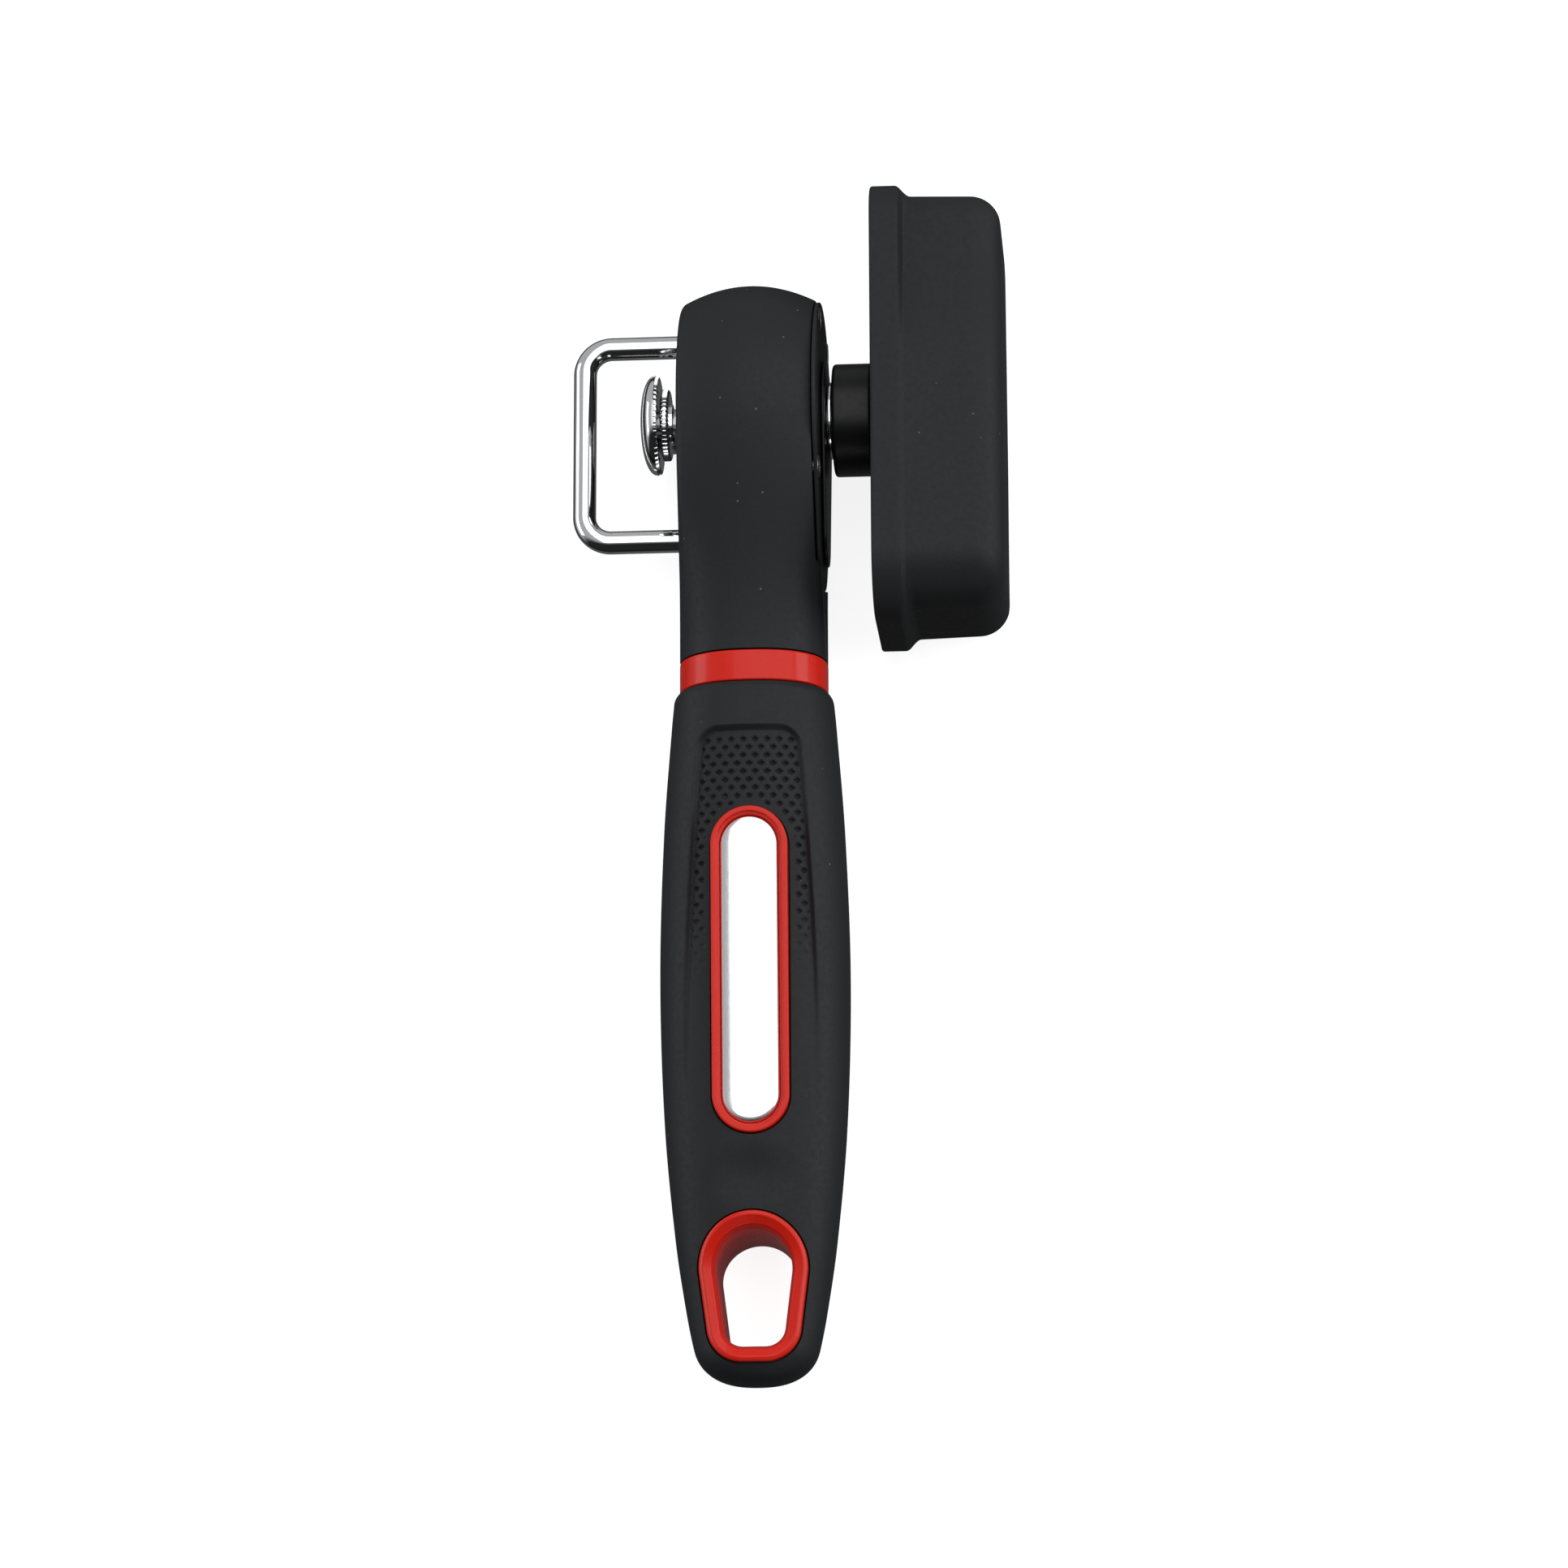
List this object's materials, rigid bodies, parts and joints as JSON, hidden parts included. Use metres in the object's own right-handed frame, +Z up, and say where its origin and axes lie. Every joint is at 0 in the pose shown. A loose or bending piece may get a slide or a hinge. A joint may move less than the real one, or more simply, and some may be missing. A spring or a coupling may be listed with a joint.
{
  "type": "manual can opener",
  "caption": "side-cutting safety can opener with a straight soft-grip handle, a round head that holds the wheels, a big turn knob on a cross shaft, a wire bail and a hanging hole",
  "frame": {"origin": "on the flat land of the head's back, straight under the drive shaft's axis, which is 21 mm above it; the tool lies on its back on the plane Z = 0", "axes": "+X is the knob end of the cross shaft, +Y runs along the handle from the hanging hole towards the head, +Z is up, out of the side with the badge"},
  "size_m": [0.0774, 0.2082, 0.0434],
  "materials": {
    "soft_black": "matte soft-touch black with a very fine grain",
    "hard_black": "satin black moulded plastic",
    "gloss_red": "glossy red moulded plastic",
    "polished_steel": "polished stainless steel",
    "chrome_wire": "bright chrome plate",
    "plain_steel": "plain turned steel",
    "bronze": "sintered bronze",
    "bearing_nylon": "off-white bearing nylon"
  },
  "bodies": {
    "handle": {"head_shell": "soft_black", "frame_plate": "plain_steel", "side_plate": "soft_black", "cover_screw_1": "plain_steel", "cover_screw_2": "plain_steel", "cover_screw_3": "plain_steel", "cover_screw_4": "plain_steel", "bearing_cover": "hard_black", "left_bush": "bearing_nylon", "right_bush": "bearing_nylon", "tang_screw_1": "plain_steel", "tang_screw_2": "plain_steel", "stop_pin_1": "plain_steel", "stop_pin_2": "plain_steel", "neck_ring": "gloss_red", "handle_core": "hard_black", "soft_grip": "soft_black", "hang_grommet": "gloss_red", "badge_bezel": "gloss_red", "badge_plate": "polished_steel", "wire_bail": "chrome_wire", "cutter_axle": "plain_steel", "cutter_spacer": "plain_steel"},
    "eccentric": {"eccentric_sleeve": "hard_black", "stop_collar": "plain_steel"},
    "drive": {"drive_shaft": "plain_steel", "rim_roller": "chrome_wire", "feed_wheel": "chrome_wire", "retaining_clip": "plain_steel", "thrust_washer": "polished_steel", "wave_spring": "plain_steel", "knob_hub": "hard_black", "knob_shell": "soft_black", "knob_base": "hard_black", "knob_screw": "plain_steel"},
    "cutter": {"cutter_bush": "bronze", "cutter_wheel": "plain_steel"}
  },
  "joints": [
    {"name": "eccentric_turn", "type": "hinge", "parent": "handle", "child": "eccentric", "pos_m": [0, -0.00012, 0.01971], "axis": [-1, 0, 0], "range_deg": [0, 134.76]},
    {"name": "drive_spin", "type": "hinge", "parent": "eccentric", "child": "drive", "pos_m": [0, 0, 0.021], "axis": [-1, 0, 0], "continuous": true},
    {"name": "cutter_spin", "type": "hinge", "parent": "handle", "child": "cutter", "pos_m": [0, 0.00482, 0.00553], "axis": [-1, 0, 0], "continuous": true}
  ]
}
